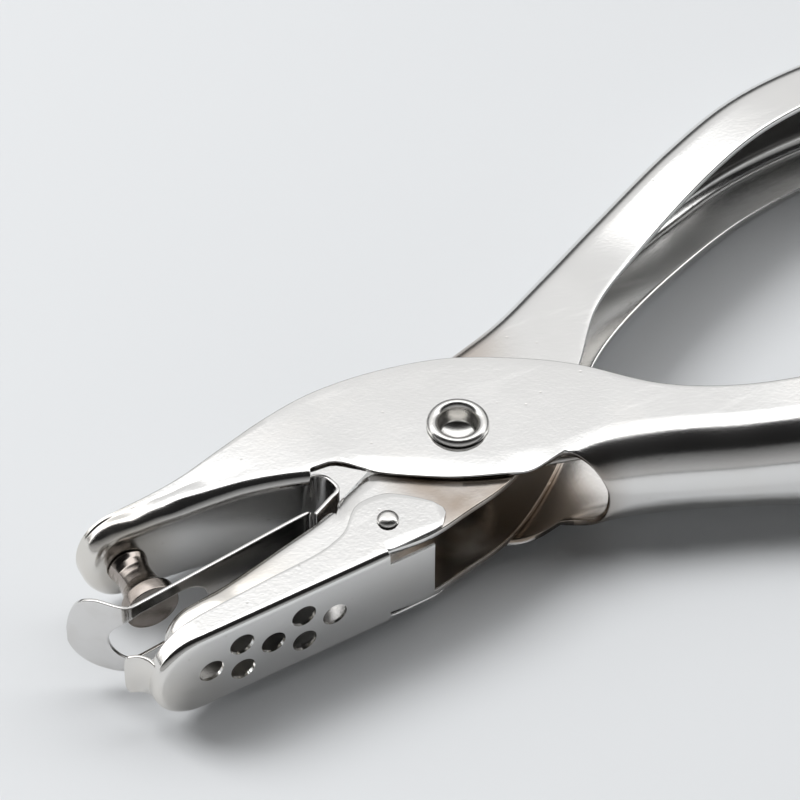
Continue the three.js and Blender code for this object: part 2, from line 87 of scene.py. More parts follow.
VIEW_ELEVATION = math.radians(48.5)
VIEW_AZIMUTH = math.radians(-27)
CAMERA_DISTANCE = 460
CAMERA_ASIDE = -6.04
CAMERA_ABOVE = 2.633
FOCAL_LENGTH = 198.1


def view_axes():
    """The camera's forward, right and up directions."""
    back = Vector((math.sin(VIEW_AZIMUTH), -math.cos(VIEW_AZIMUTH), 0))
    forward = -back * math.cos(VIEW_ELEVATION) - Vector((0, 0, math.sin(VIEW_ELEVATION)))
    right = Vector((math.cos(VIEW_AZIMUTH), math.sin(VIEW_AZIMUTH), 0))
    return forward, right, right.cross(forward)


def add_camera():
    forward, right, up = view_axes()
    data = bpy.data.cameras.new("camera")
    data.lens = FOCAL_LENGTH
    data.sensor_width = 36
    data.clip_end = 10
    camera = bpy.data.objects.new("camera", data)
    aim = Vector((0, 0, MIDDLE_HEIGHT + PUNCH_HALF))
    place = aim - forward * CAMERA_DISTANCE + right * CAMERA_ASIDE + up * CAMERA_ABOVE
    camera.location = place * MM
    camera.rotation_euler = forward.to_track_quat("-Z", "Y").to_euler()
    bpy.context.scene.collection.objects.link(camera)
    bpy.context.scene.camera = camera


def add_floor():
    mesh = bpy.data.meshes.new("floor")
    size = 3.0
    corners = [(-size, -size, 0), (size, -size, 0), (size, size, 0), (-size, size, 0)]
    mesh.from_pydata(corners, [], [(0, 1, 2, 3)])
    floor = bpy.data.objects.new("floor", mesh)
    bpy.context.scene.collection.objects.link(floor)
    material = bpy.data.materials.new("floor_paper")
    material.use_nodes = True
    shader = material.node_tree.nodes["Principled BSDF"]
    shader.inputs["Base Color"].default_value = (0.70, 0.715, 0.73, 1)
    shader.inputs["Roughness"].default_value = 0.9
    shader.inputs["Specular IOR Level"].default_value = 0.1
    mesh.materials.append(material)


# The studio's light by elevation, from the horizon behind the tool, over the top, to the one in front:
# (degrees, brightness).
STUDIO = [
    (0, 0.06),
    (17, 0.1),
    (26, 0.55),
    (34, 0.84),
    (50, 0.87),
    (56, 2.2),
    (76, 2.2),
    (81, 0.02),
    (131, 0.012),
    (138, 0.14),
    (160, 0.36),
    (175, 0.5),
    (180, 0.1),
]


def add_studio():
    world = bpy.data.worlds.new("studio")
    bpy.context.scene.world = world
    world.use_nodes = True
    nodes = world.node_tree.nodes
    links = world.node_tree.links
    nodes.clear()
    coordinates = nodes.new("ShaderNodeTexCoord")
    along = nodes.new("ShaderNodeVectorMath")
    along.operation = "DOT_PRODUCT"
    forward, right, up = view_axes()
    along.inputs[1].default_value = Vector((forward.x, forward.y, 0)).normalized()
    split = nodes.new("ShaderNodeSeparateXYZ")
    angle = nodes.new("ShaderNodeMath")
    angle.operation = "ARCTAN2"
    share = nodes.new("ShaderNodeMath")
    share.operation = "DIVIDE"
    share.inputs[1].default_value = math.pi
    ramp = nodes.new("ShaderNodeValToRGB")
    background = nodes.new("ShaderNodeBackground")
    output = nodes.new("ShaderNodeOutputWorld")
    brightest = max(level for degrees, level in STUDIO)
    background.inputs["Strength"].default_value = brightest
    stops = ramp.color_ramp.elements
    while len(stops) < len(STUDIO):
        stops.new(1)
    for stop, (degrees, level) in zip(stops, STUDIO):
        stop.position = degrees / 180
        stop.color = (level / brightest,) * 3 + (1,)
    links.new(coordinates.outputs["Generated"], along.inputs[0])
    links.new(coordinates.outputs["Generated"], split.inputs[0])
    links.new(split.outputs["Z"], angle.inputs[0])
    links.new(along.outputs["Value"], angle.inputs[1])
    links.new(angle.outputs[0], share.inputs[0])
    links.new(share.outputs[0], ramp.inputs[0])
    links.new(ramp.outputs["Color"], background.inputs["Color"])
    links.new(background.outputs[0], output.inputs[0])


def add_lamp(name, place, aim, size, power):
    """A soft lamp that lights the floor and the matt surfaces but isn't mirrored in the metal."""
    data = bpy.data.lights.new(name, "AREA")
    data.size = size
    data.energy = power
    lamp = bpy.data.objects.new(name, data)
    lamp.location = place
    lamp.rotation_euler = (Vector(aim) - Vector(place)).to_track_quat("-Z", "Y").to_euler()
    lamp.visible_glossy = False
    bpy.context.scene.collection.objects.link(lamp)


# ---- Materials ----

class Surface:
    """A procedural metal, built up node by node."""

    def __init__(self, name, colour, roughness):
        self.material = bpy.data.materials.new(name)
        self.material.use_nodes = True
        self.nodes = self.material.node_tree.nodes
        self.links = self.material.node_tree.links
        self.shader = self.nodes["Principled BSDF"]
        self.shader.inputs["Metallic"].default_value = 1
        self.coordinates = self.nodes.new("ShaderNodeTexCoord").outputs["Object"]
        self.colour = colour
        self.roughness = roughness
        self.colour_socket = None
        self.roughness_socket = None
        self.bump_socket = None

    def noise(self, per_metre, detail=3, stretch=(1, 1, 1)):
        mapping = self.nodes.new("ShaderNodeMapping")
        mapping.inputs["Scale"].default_value = stretch
        self.links.new(self.coordinates, mapping.inputs["Vector"])
        texture = self.nodes.new("ShaderNodeTexNoise")
        texture.inputs["Scale"].default_value = per_metre
        texture.inputs["Detail"].default_value = detail
        self.links.new(mapping.outputs[0], texture.inputs["Vector"])
        return texture.outputs["Fac"]

    def spots(self, per_metre, size):
        """Sparse round pits: 1 in a pit, 0 elsewhere."""
        texture = self.nodes.new("ShaderNodeTexVoronoi")
        texture.inputs["Scale"].default_value = per_metre
        self.links.new(self.coordinates, texture.inputs["Vector"])
        return self.remap(texture.outputs["Distance"], 0, size, 1, 0)

    def remap(self, value, low, high, out_low, out_high):
        node = self.nodes.new("ShaderNodeMapRange")
        node.interpolation_type = "SMOOTHSTEP"
        limits = {"From Min": low, "From Max": high, "To Min": out_low, "To Max": out_high}
        for name, number in limits.items():
            node.inputs[name].default_value = number
        self.links.new(value, node.inputs["Value"])
        return node.outputs[0]

    def near(self, centre, radius, softness):
        """1 close to a point given in millimetres, fading to 0."""
        node = self.nodes.new("ShaderNodeVectorMath")
        node.operation = "DISTANCE"
        node.inputs[1].default_value = to_frame(*centre)
        self.links.new(self.coordinates, node.inputs[0])
        return self.remap(node.outputs["Value"], (radius - softness) * MM, (radius + softness) * MM, 1, 0)

    def marked(self, name):
        """1 on the faces that carry this mark, 0 elsewhere."""
        node = self.nodes.new("ShaderNodeAttribute")
        node.attribute_name = name
        return node.outputs["Fac"]

    def inside(self, half):
        """1 closer to the tool's middle plane than half, in millimetres, and 0 beyond it."""
        split = self.nodes.new("ShaderNodeSeparateXYZ")
        self.links.new(self.coordinates, split.inputs[0])
        offset = self.maths("SUBTRACT", split.outputs["Z"], MIDDLE_HEIGHT * MM)
        distance = self.maths("ABSOLUTE", offset, 0.0)
        softness = 0.15
        return self.remap(distance, (half - softness) * MM, (half + softness) * MM, 1, 0)

    def maths(self, operation, a, b):
        node = self.nodes.new("ShaderNodeMath")
        node.operation = operation
        for socket, value in zip(node.inputs, (a, b)):
            if isinstance(value, (int, float)):
                socket.default_value = value
            else:
                self.links.new(value, socket)
        return node.outputs[0]

    def tint(self, mask, colour):
        """Mixes another colour in where the mask is 1."""
        mix = self.nodes.new("ShaderNodeMix")
        mix.data_type = "RGBA"
        if self.colour_socket is None:
            mix.inputs["A"].default_value = (*self.colour, 1)
        else:
            self.links.new(self.colour_socket, mix.inputs["A"])
        mix.inputs["B"].default_value = (*colour, 1)
        self.links.new(mask, mix.inputs["Factor"])
        self.colour_socket = mix.outputs["Result"]

    def vary_roughness(self, mask, amount):
        before = self.roughness if self.roughness_socket is None else self.roughness_socket
        self.roughness_socket = self.maths("ADD", before, self.maths("MULTIPLY", mask, amount))

    def bump(self, height, depth):
        """Raises the surface where height is 1, by a depth in millimetres."""
        node = self.nodes.new("ShaderNodeBump")
        node.inputs["Strength"].default_value = 1
        node.inputs["Distance"].default_value = depth * MM
        self.links.new(height, node.inputs["Height"])
        if self.bump_socket is not None:
            self.links.new(self.bump_socket, node.inputs["Normal"])
        self.bump_socket = node.outputs[0]

    def finish(self):
        inputs = self.shader.inputs
        if self.colour_socket is None:
            inputs["Base Color"].default_value = (*self.colour, 1)
        else:
            self.links.new(self.colour_socket, inputs["Base Color"])
        if self.roughness_socket is None:
            inputs["Roughness"].default_value = self.roughness
        else:
            self.links.new(self.roughness_socket, inputs["Roughness"])
        if self.bump_socket is not None:
            self.links.new(self.bump_socket, inputs["Normal"])
        return self.material


def to_frame(x, y, z):
    """A point given in millimetres from the middle plane, in the frame's metres."""
    return Vector((x * MM, y * MM, (z + MIDDLE_HEIGHT) * MM))


def nickel_plate(name, tarnish_and_shade_spots=(), colour=(0.78, 0.775, 0.765), roughness=0.15, painted_rim_shade=0):
    """Bright nickel over pressed sheet: fine grain, faint hazy patches, tiny pits, hairline scuffs.

    Each spot of tarnish or of painted shade is (centre, radius, softness, colour, amount, half height it
    stays within or None).
    The last argument sets how dark the sheet's cut edges are painted: painted shade on the rims.
    """
    surface = Surface(name, colour, roughness)
    haze = surface.noise(110, detail=3)
    fine = surface.noise(2900, detail=2)
    peel = surface.noise(1300, detail=2)
    scuffs = surface.noise(700, detail=2, stretch=(0.12, 1, 1))
    pits = surface.spots(420, 0.09)
    surface.tint(surface.remap(haze, 0.45, 0.75, 0, 0.25), (0.74, 0.71, 0.67))
    surface.tint(surface.maths("MULTIPLY", pits, 0.3), (0.32, 0.28, 0.24))
    # Spots of tarnish, and spots of painted shade inside and between the levers.
    for centre, radius, softness, tone, amount, within in tarnish_and_shade_spots:
        patch = surface.maths("MULTIPLY", surface.near(centre, radius, softness), amount)
        if within:
            patch = surface.maths("MULTIPLY", patch, surface.inside(within))
        broken = surface.maths("MULTIPLY", patch, surface.remap(haze, 0.3, 0.6, 0.6, 1))
        surface.tint(broken, tone)
        surface.vary_roughness(broken, 0.08)
    # Painted shade: darkens the marked cut edges as if shade lay on them.
    if painted_rim_shade:
        surface.tint(surface.maths("MULTIPLY", surface.marked("painted_rim_shade"), painted_rim_shade), PAINTED_RIM_SHADE)
    surface.vary_roughness(surface.remap(haze, 0.35, 0.7, 0, 1), 0.04)
    surface.vary_roughness(surface.remap(scuffs, 0.58, 0.75, 0, 1), 0.05)
    surface.bump(peel, 0.004)
    surface.bump(fine, 0.0055)
    surface.bump(pits, -0.008)
    return surface.finish()


def worked_steel(name, colour, roughness, dark, marks=(1, 1, 1), stained=0.85):
    """Uncoated hard steel: turning or rolling marks, oil stain."""
    surface = Surface(name, colour, roughness)
    stain = surface.noise(300, detail=4)
    lines = surface.noise(1500, detail=3, stretch=marks)
    surface.tint(surface.remap(stain, 0.42, 0.7, 0, stained), dark)
    surface.vary_roughness(surface.remap(stain, 0.35, 0.7, 0, 1), 0.12 * stained)
    surface.vary_roughness(surface.remap(lines, 0.4, 0.7, 0, 1), 0.04)
    surface.bump(lines, 0.006)
    return surface.finish()


# ---- Mesh helpers ----

def lerp(a, b, t):
    return a + (b - a) * t


def clamped(share):
    return min(max(share, 0), 1)


def through(values):
    """A cubic curve through values given at whole-numbered stations."""
    last = len(values) - 1

    def at(i):
        return values[min(max(i, 0), last)]

    def value(u):
        i = min(max(int(math.floor(u)), 0), last - 1)
        t = u - i
        a, b, c, d = at(i - 1), at(i), at(i + 1), at(i + 2)
        slope_b = c - b if i == 0 else (c - a) / 2
        slope_c = c - b if i == last - 1 else (d - b) / 2
        t2 = t * t
        t3 = t2 * t
        start = b * (2 * t3 - 3 * t2 + 1) + slope_b * (t3 - 2 * t2 + t)
        return start + c * (3 * t2 - 2 * t3) + slope_c * (t3 - t2)

    return value


def curve_through(points):
    """A smooth curve through points in XY, read by its share of the length."""
    xs = through([p[0] for p in points])
    ys = through([p[1] for p in points])
    reach = [0.0]
    for p, q in zip(points, points[1:]):
        reach.append(reach[-1] + math.dist(p, q))

    def value(share):
        wanted = share * reach[-1]
        i = 0
        while i < len(reach) - 2 and reach[i + 1] < wanted:
            i += 1
        t = i + (wanted - reach[i]) / (reach[i + 1] - reach[i])
        return xs(t), ys(t)

    return value


def make_object(name, bm, material, smooth_angle=None):
    """Turns a bmesh in millimetres into an object in the frame."""
    for vertex in bm.verts:
        vertex.co = to_frame(*vertex.co)
    bmesh.ops.recalc_face_normals(bm, faces=bm.faces)
    mesh = bpy.data.meshes.new(name)
    bm.to_mesh(mesh)
    bm.free()
    mesh.materials.append(material)
    mesh.polygons.foreach_set("use_smooth", [True] * len(mesh.polygons))
    if smooth_angle:
        mesh.set_sharp_from_angle(angle=math.radians(smooth_angle))
    item = bpy.data.objects.new(name, mesh)
    bpy.context.scene.collection.objects.link(item)
    normals = item.modifiers.new("even_normals", "WEIGHTED_NORMAL")
    normals.keep_sharp = True
    return item


def stand_for(item, node, body):
    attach(item, body)
    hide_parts(node)


def turned(name, profile, centre, axis, material, segments, smooth_angle=35):
    """A turned piece: (radius, height) pairs about an axis, "Y" or "Z", through a point."""
    bm = bmesh.new()
    rings = []
    for radius, height in profile:
        ring = []
        count = 1 if radius == 0 else segments
        for k in range(count):
            turn = 2 * math.pi * k / segments
            a = radius * math.cos(turn)
            b = radius * math.sin(turn)
            offset = (a, height, b) if axis == "Y" else (a, b, height)
            ring.append(bm.verts.new([c + o for c, o in zip(centre, offset)]))
        rings.append(ring)
    for low, high in zip(rings, rings[1:]):
        for k in range(segments):
            after = k + 1
            corners = [low[k % len(low)], low[after % len(low)], high[after % len(high)], high[k % len(high)]]
            unique = list(dict.fromkeys(corners))
            if len(unique) > 2:
                bm.faces.new(unique)
    return make_object(name, bm, material, smooth_angle)


def rounded(profile, radius):
    """A profile with its inner corners rounded off."""
    steps = 4
    result = [profile[0]]
    for before, corner, after in zip(profile, profile[1:], profile[2:]):
        p = Vector(before)
        q = Vector(corner)
        r = Vector(after)
        cut = min(radius, (p - q).length * 0.45, (r - q).length * 0.45)
        start = q + (p - q).normalized() * cut
        end = q + (r - q).normalized() * cut
        for k in range(steps + 1):
            t = k / steps
            point = start * (1 - t) ** 2 + q * 2 * t * (1 - t) + end * t * t
            result.append((point.x, point.y))
    result.append(profile[-1])
    return result


# ---- Pressed channels ----

class Channel:
    """A channel pressed from sheet.

    Each station is (web x, web y, edge x, edge y, half width, bend radius): a point on the web's outer
    face, the matching point on the walls' free edge. The stations run from the rounded nose to the tail.
    Between window_start and window_end only the walls are there, and their cut edge follows the curve
    "cut". The web's ends at the window are arched: foot and middle are how far the end is moved along,
    in stations, at the walls and at mid-width.
    """

    def __init__(self, stations, **options):
        self.web_x, self.web_y, self.edge_x, self.edge_y, self.half, self.bend = (
            through([s[k] for s in stations]) for k in range(6)
        )
        self.last = len(stations) - 1
        self.sheet = options["sheet"]
        self.nose_reach = options["nose_reach"]
        self.tail_reach = options.get("tail_reach", 0)
        self.start = options["window_start"]
        self.end = options["window_end"]
        self.start_arch = options.get("start_arch", (0, 0))
        self.end_arch = options.get("end_arch", (0, 0))
        self.arch_reach = options.get("arch_reach", 0.9)
        self.spacing = 0.6  # between rows, in millimetres
        self.dent = options.get("dent")
        self.keep_web = options.get("keep_web")
        self.cap_steps = 18  # rows round each rounded end
        first = self.foot(self.start + self.start_arch[0])
        ends = [self.foot(self.end + self.end_arch[0])] if self.end < self.last else []
        self.cut = curve_through([first, *options["cut"], *ends])

    def foot(self, u):
        x, y, z = self.point(u, self.bend(u), 0)
        return x, y

    def point(self, u, h, z):
        x = self.web_x(u)
        y = self.web_y(u)
        dx = self.edge_x(u) - x
        dy = self.edge_y(u) - y
        length = math.hypot(dx, dy)
        return x + dx / length * h, y + dy / length * h, z

    def height(self, u):
        return math.hypot(self.edge_x(u) - self.web_x(u), self.edge_y(u) - self.web_y(u))

    def pace(self, u):
        """Millimetres along the web per station, near u."""
        low = max(u - 0.01, 0)
        high = min(u + 0.01, self.last)
        return math.dist(self.point(low, 0, 0), self.point(high, 0, 0)) / (high - low)

    def travel(self, low, high):
        """Millimetres along the web at evenly spaced stations between two."""
        steps = 200
        reach = [0.0]
        for k in range(steps):
            u = lerp(low, high, (k + 0.5) / steps)
            reach.append(reach[-1] + self.pace(u) * (high - low) / steps)
        return reach

    def along(self, low, high, reach, share):
        """The station at a share of the way between two stations, whose travel is reach."""
        wanted = share * reach[-1]
        k = 0
        while k < len(reach) - 2 and reach[k + 1] < wanted:
            k += 1
        t = (wanted - reach[k]) / (reach[k + 1] - reach[k])
        return lerp(low, high, (k + t) / (len(reach) - 1))

    def rows(self):
        """Rows along the channel: (station, turn round the end cap, which end, cap's reach)."""
        nose_at = self.nose_reach / self.pace(0.2)
        tail_at = self.last
        if self.tail_reach:
            tail_at = self.last - self.tail_reach / self.pace(self.last - 0.2)
        rows = []
        for i in range(self.cap_steps):
            rows.append((nose_at, math.pi / 2 * (1 - i / self.cap_steps), -1, self.nose_reach))
        fixed = sorted([nose_at, tail_at] + [u for u in (self.start, self.end) if u < self.last])
        for low, high in zip(fixed, fixed[1:]):
            reach = self.travel(low, high)
            count = max(1, round(reach[-1] / self.spacing))
            for k in range(count):
                rows.append((self.along(low, high, reach, k / count), 0, 0, 0))
        rows.append((tail_at, 0, 0, 0))
        if self.tail_reach:
            for i in range(1, self.cap_steps + 1):
                rows.append((tail_at, math.pi / 2 * i / self.cap_steps, 1, self.tail_reach))
        return rows

    def columns(self):
        """Columns across one side: (share down the wall, turn round the bend, share across the web)."""
        walls = 10
        bends = 12
        columns = [(k / walls, 0, 1) for k in range(walls + 1)]
        columns += [(1, math.pi / 2 * k / bends, 1) for k in range(1, bends + 1)]
        columns += [(1, math.pi / 2, share) for share in (0.8, 0.6, 0.4, 0.2, 0)]
        return columns

    def arch_shift(self, base, column, across):
        """How far the window's arched ends pull this point along, in stations."""
        wall, turn, web = column
        shift = 0
        for at, (foot, middle) in ((self.start, self.start_arch), (self.end, self.end_arch)):
            fade = max(0.0, 1 - abs(base - at) / self.arch_reach)
            if turn == 0:
                amount = foot * wall * wall
            else:
                rise = math.sqrt(max(0.0, 1 - across * across))
                amount = lerp(foot, middle, rise)
            shift += amount * fade * fade * (3 - 2 * fade)
        return shift

    def place(self, row, column, inset, side):
        base, cap_turn, end, reach = row
        wall, turn, web = column
        half = self.half(base)
        radius = self.bend(base) - inset
        cut = radius * (1 - math.cos(turn))
        across = (half - self.bend(base) * (1 - math.cos(turn))) * web / half
        u = base + self.arch_shift(base, column, across)
        if end:
            u += end * (reach - inset - cut) * math.sin(cap_turn) / self.pace(base)
        u = min(max(u, 0), self.last)
        before_end = base < self.end or self.end >= self.last
        in_window = self.start < base and before_end
        if turn == 0:
            if in_window:
                foot = self.cut((base - self.start) / (min(self.end, self.last) - self.start))
                x = lerp(self.edge_x(u), foot[0], wall)
                y = lerp(self.edge_y(u), foot[1], wall)
                x, y, cut = self.round_in(u, x, y, inset)
            else:
                x, y, z = self.point(u, lerp(self.height(u), self.bend(u), wall), 0)
        else:
            h = self.bend(u) - (self.bend(u) - inset) * math.sin(turn)
            x, y, z = self.point(u, h, 0)
        z = (half - inset - cut) * math.cos(cap_turn) * web * side
        if self.dent:
            return self.dent(Vector((x, y, z)), wall, turn)
        return Vector((x, y, z))

    def round_in(self, u, x, y, inset):
        """A wall point below the bend's start follows the bend inwards, beside the window too."""
        bend = self.bend(u)
        dx = (self.edge_x(u) - self.web_x(u)) / self.height(u)
        dy = (self.edge_y(u) - self.web_y(u)) / self.height(u)
        above = (x - self.web_x(u)) * dx + (y - self.web_y(u)) * dy
        if above >= bend:
            return x, y, 0
        sine = min((bend - above) / bend, 0.95)
        shift = bend - (bend - inset) * sine - above
        return x + dx * shift, y + dy * shift, (bend - inset) * (1 - math.sqrt(1 - sine * sine))

    def build(self, rim):
        rows = self.rows()
        one_side = self.columns()
        across = [(c, 1) for c in one_side] + [(c, -1) for c in reversed(one_side[:-1])]
        walls = sum(1 for c in one_side if c[1] == 0)
        outer = [[self.place(r, c, 0, side) for c, side in across] for r in rows]
        inner = [[self.place(r, c, self.sheet, side) for c, side in across] for r in rows]

        def kept(i, j):
            if not (0 <= i < len(rows) - 1 and 0 <= j < len(across) - 1):
                return False
            middle = (rows[i][0] + rows[i + 1][0]) / 2
            if not self.start < middle < self.end:
                return True
            if j < walls - 1 or j >= len(across) - walls:
                return True
            near, far = across[j][0], across[j + 1][0]
            return bool(self.keep_web and self.keep_web(middle, max(near[2], far[2]), near[1]))

        return closed_sheet(outer, inner, kept, (True, bool(self.tail_reach)), rim)


# The rounding of a cut edge: shares of its radius along the sheet and through its thickness.
RIM_CURVE = [(1, 0), (0.5, 0.134), (0.134, 0.5), (0, 1)]


def unit(p, q):
    """The direction from p to q, or no direction where they coincide."""
    along = q - p
    return along.normalized() if along.length > 1e-6 else along * 0


def closed_sheet(outer, inner, kept, folds, rim):
    """A closed solid between two matching grids, made of the cells for which kept(i, j) is true.

    folds says whether the first and the last row fold onto themselves, and so have no cut edge. Every
    cut edge is rounded off by the radius rim.
    """
    bm = bmesh.new()
    found = {}
    row_count = len(outer) - 1
    column_count = len(outer[0]) - 1

    def vertex(p):
        key = (round(p.x, 3), round(p.y, 3), round(p.z, 3))
        if key not in found:
            found[key] = bm.verts.new(p)
        return found[key]

    def face(*corners):
        unique = list(dict.fromkeys(vertex(c) for c in corners))
        if len(unique) > 2 and bm.faces.get(unique) is None:
            bm.faces.new(unique)

    def whole(i, j):
        if not 0 <= j < column_count:
            return False
        if i < 0:
            return folds[0] and kept(0, column_count - 1 - j)
        if i >= row_count:
            return folds[1] and kept(row_count - 1, column_count - 1 - j)
        return kept(i, j)

    def point(grid, i, j):
        if i < 0:
            return grid[1][column_count - j]
        if i > row_count:
            return grid[row_count - 1][column_count - j]
        return grid[i][j]

    def inwards(grid, i, j, cells):
        """The way from a point on a cut edge into the sheet."""
        here = grid[i][j]
        total = Vector((0, 0, 0))
        for di, dj in cells:
            total += unit(here, point(grid, i + di, j)) + unit(here, point(grid, i, j + dj))
        return total / 2 if len(cells) == 2 else total

    rings = {}

    def ring(i, j):
        """The points from the outer face over the cut edge to the inner face, or only the two faces'."""
        if (i, j) in rings:
            return rings[i, j]
        cells = [(di, dj) for di in (-1, 1) for dj in (-1, 1) if whole(i + min(di, 0), j + min(dj, 0))]
        a = outer[i][j]
        b = inner[i][j]
        result = [a, b]
        if len(cells) < 4:
            through_sheet = unit(a, b)
            radius = min(rim, (b - a).length * 0.45)
            in_a = inwards(outer, i, j, cells)
            in_b = inwards(inner, i, j, cells)
            result = [a + in_a * radius * s + through_sheet * radius * t for s, t in RIM_CURVE]
            result += [b + in_b * radius * s - through_sheet * radius * t for s, t in reversed(RIM_CURVE)]
        rings[i, j] = result
        return result

    def edge(first, second):
        for k in range(len(first) - 1):
            face(first[k], second[k], second[k + 1], first[k + 1])

    for i in range(row_count):
        for j in range(column_count):
            if not kept(i, j):
                continue
            corners = [ring(i, j), ring(i, j + 1), ring(i + 1, j + 1), ring(i + 1, j)]
            face(*(c[0] for c in corners))
            face(*(c[-1] for c in reversed(corners)))
            neighbours = [(i - 1, j), (i, j + 1), (i + 1, j), (i, j - 1)]
            for k, beside in enumerate(neighbours):
                if not whole(*beside):
                    edge(corners[(k + 1) % 4], corners[k])
    bmesh.ops.recalc_face_normals(bm, faces=bm.faces)
    return bm


def cut_bars(item, bars):
    """Cuts round holes: each bar is (axis, point, radius, low, high)."""
    bm = bmesh.new()
    segments = 48
    for axis, (a, b), radius, low, high in bars:
        rings = []
        for height in (low, high):
            ring = []
            for k in range(segments):
                turn = 2 * math.pi * k / segments
                p = a + radius * math.cos(turn)
                q = b + radius * math.sin(turn)
                ring.append(bm.verts.new(to_frame(p, height, q) if axis == "Y" else to_frame(p, q, height)))
            rings.append(ring)
        bm.faces.new(rings[0])
        bm.faces.new(rings[1])
        for k in range(segments):
            after = (k + 1) % segments
            bm.faces.new([rings[0][k], rings[0][after], rings[1][after], rings[1][k]])
    bmesh.ops.recalc_face_normals(bm, faces=bm.faces)
    mesh = bpy.data.meshes.new("cutter")
    bm.to_mesh(mesh)
    bm.free()
    cutter = bpy.data.objects.new("cutter", mesh)
    bpy.context.scene.collection.objects.link(cutter)
    cut = item.modifiers.new("holes", "BOOLEAN")
    cut.operation = "DIFFERENCE"
    cut.solver = "EXACT"
    cut.object = cutter
    bpy.context.view_layer.objects.active = item
    item.modifiers.move(len(item.modifiers) - 1, 0)
    bpy.ops.object.modifier_apply(modifier="holes")
    bpy.data.objects.remove(cutter)
    item.data.polygons.foreach_set("use_smooth", [True] * len(item.data.polygons))
    item.data.set_sharp_from_angle(angle=math.radians(SHARP_ANGLE))


# ---- Levers ----

PUNCH_STATIONS = [
    (-42.3, 3.1, -42.3, 6.2, 5.4, 1.8),
    (-36.9, 3.15, -36.9, 6.1, 5.45, 1.8),
    (-30, 2.95, -29.8, 6.9, 5.6, 1.8),
    (-23.5, 2.3, -23.9, 8.4, 5.9, 1.6),
    (-17.4, 0.7, -17.6, 10.1, PUNCH_HALF, 1.4),
    (-13, -1.4, -11.5, 11.1, PUNCH_HALF, 1.3),
    (-7.5, -4.7, -4.5, 10.8, PUNCH_HALF, 1.3),
    (-1, -8, 3, 9.1, PUNCH_HALF, 1.3),
    (5, -10.1, 9.5, 5.9, PUNCH_HALF, 1.6),
    (11, -11.9, 15.2, 2, PUNCH_HALF, 4.7),
    (18, -14.2, 22, -4.5, PUNCH_HALF, 5.4),
    (26.5, -17.6, 29.8, -8.7, 6.15, 5.4),
    (37, -21.6, 39.7, -12.1, 6.9, 5.5),
    (50, -25.2, 51.6, -15.6, GRIP_HALF, 5.5),
    (64, -27.2, 64.4, -17.9, GRIP_HALF, 5.5),
    (76, -27.2, 75.4, -18.9, 7, 5.3),
    (84.9, -26.2, 83.9, -19.6, 6.6, 5),
]

PUNCH_CUT = [
    (-15.3, 1.6),
    (-14, 1.5),
    (-12.8, 0.7),
    (-11.7, -0.5),
    (-10.2, -1.95),
    (-7.5, -3.8),
    (-3.4, -6.2),
    (1.1, -8),
    (4.1, -8.9),
]

DIE_STATIONS = [
    (-40.3, -9.2, -40.3, -12.5, 5, 1.3),
    (-36.2, -8.05, -36.2, -12.45, DIE_HALF, 1.3),
    (-30, -6.95, -30, -12.1, DIE_HALF, 1.3),
    (-23.5, -5.25, -23.5, -11.75, DIE_HALF, 1.3),
    (-17.2, -3.4, -15, -11.25, DIE_HALF, 1.3),
    (-12.6, -0.7, -9.2, -11.3, DIE_HALF, 1.3),
    (-7.4, 2.6, -4.2, -10.2, DIE_HALF, 1.3),
    (-2.6, 7.6, 2, -8.4, DIE_HALF, 1.5),
    (3.6, 10.2, 8.6, -4.1, DIE_HALF, 2),
    (10.6, 12.7, 15.6, 2.3, DIE_HALF, 2.2),
    (18, 16.3, 21.8, 9.3, DIE_HALF, 2.2),
    (27, 20.9, 30, 14.4, 5.2, 2.3),
    (39.6, 26.4, 42, 20, 6.4, 2.4),
    (50.2, 29.7, 51.4, 22.9, 7.1, 2.4),
    (62, 30.68, 61.8, 23.9, GRIP_HALF, 2.4),
    (74, 29.3, 73.2, 22.9, GRIP_HALF, 2.4),
    (84, 27.2, 83, 21.6, 6.7, 2.2),
]

DIE_CUT = [
    (-15.1, -2),
    (-13.8, -1.3),
    (-12, -0.95),
    (-10, 0.1),
    (-7.2, 2),
    (-4.7, 4.6),
    (-2.3, 6.7),
    (0.8, 8.2),
]


def hammered(amount, nose_x, fade):
    """Pressing marks on a jaw: shallow waves in the bends, strongest at the nose.

    amount is how far they go in, in millimetres, on a jaw about 6 mm to each side of its middle.
    """
    jaw_half = 6

    def dent(p, wall, turn):
        strength = clamped((nose_x + fade - p.x) / fade)
        if strength == 0 or (turn == 0 and wall < 0.5):
            return p
        wave = noise.noise(Vector((p.x * 0.34, p.y * 0.5, p.z * 0.34)))
        pull = max(amount * strength * (0.35 + wave), 0)
        return Vector((p.x, p.y, p.z * (1 - pull / jaw_half)))

    return dent


punch_channel = Channel(
    PUNCH_STATIONS,
    sheet=SHEET,
    nose_reach=5.4,
    tail_reach=5.5,
    window_start=4,
    window_end=8.8,
    start_arch=(0.22, 0),
    end_arch=(-0.4, 0.3),
    cut=PUNCH_CUT,
    dent=hammered(0.22, -33, 12),
)

die_channel = Channel(
    DIE_STATIONS,
    sheet=SHEET,
    nose_reach=4.9,
    tail_reach=4.9,
    window_start=4,
    window_end=8,
    start_arch=(0.12, 0),
    end_arch=(0, 0.1),
    cut=DIE_CUT,
    dent=hammered(0.16, -34, 10),
)

# Brown: painted shade round the levers' crossing, and a brown spot at (4, 10) on the die lever.
BROWN = (0.27, 0.2, 0.14)
SHADE = (0.16, 0.16, 0.165)
# Painted shade for the levers' cut edges.
PAINTED_RIM_SHADE = (0.17, 0.15, 0.13)
STRAW = (0.70, 0.62, 0.50)


WALL_INSIDE = 4.9  # the punch lever's wall is further than this from the middle plane
PAINTED_RIM_SHADE_FROM_X = -20
PAINTED_RIM_SHADE_TO_X = 40
SIDEWAYS = 0.35  # a face whose normal has less than this along Z doesn't face sideways
RIM_FACE_AREA = 0.6  # the largest face in a rounded rim, in square millimetres


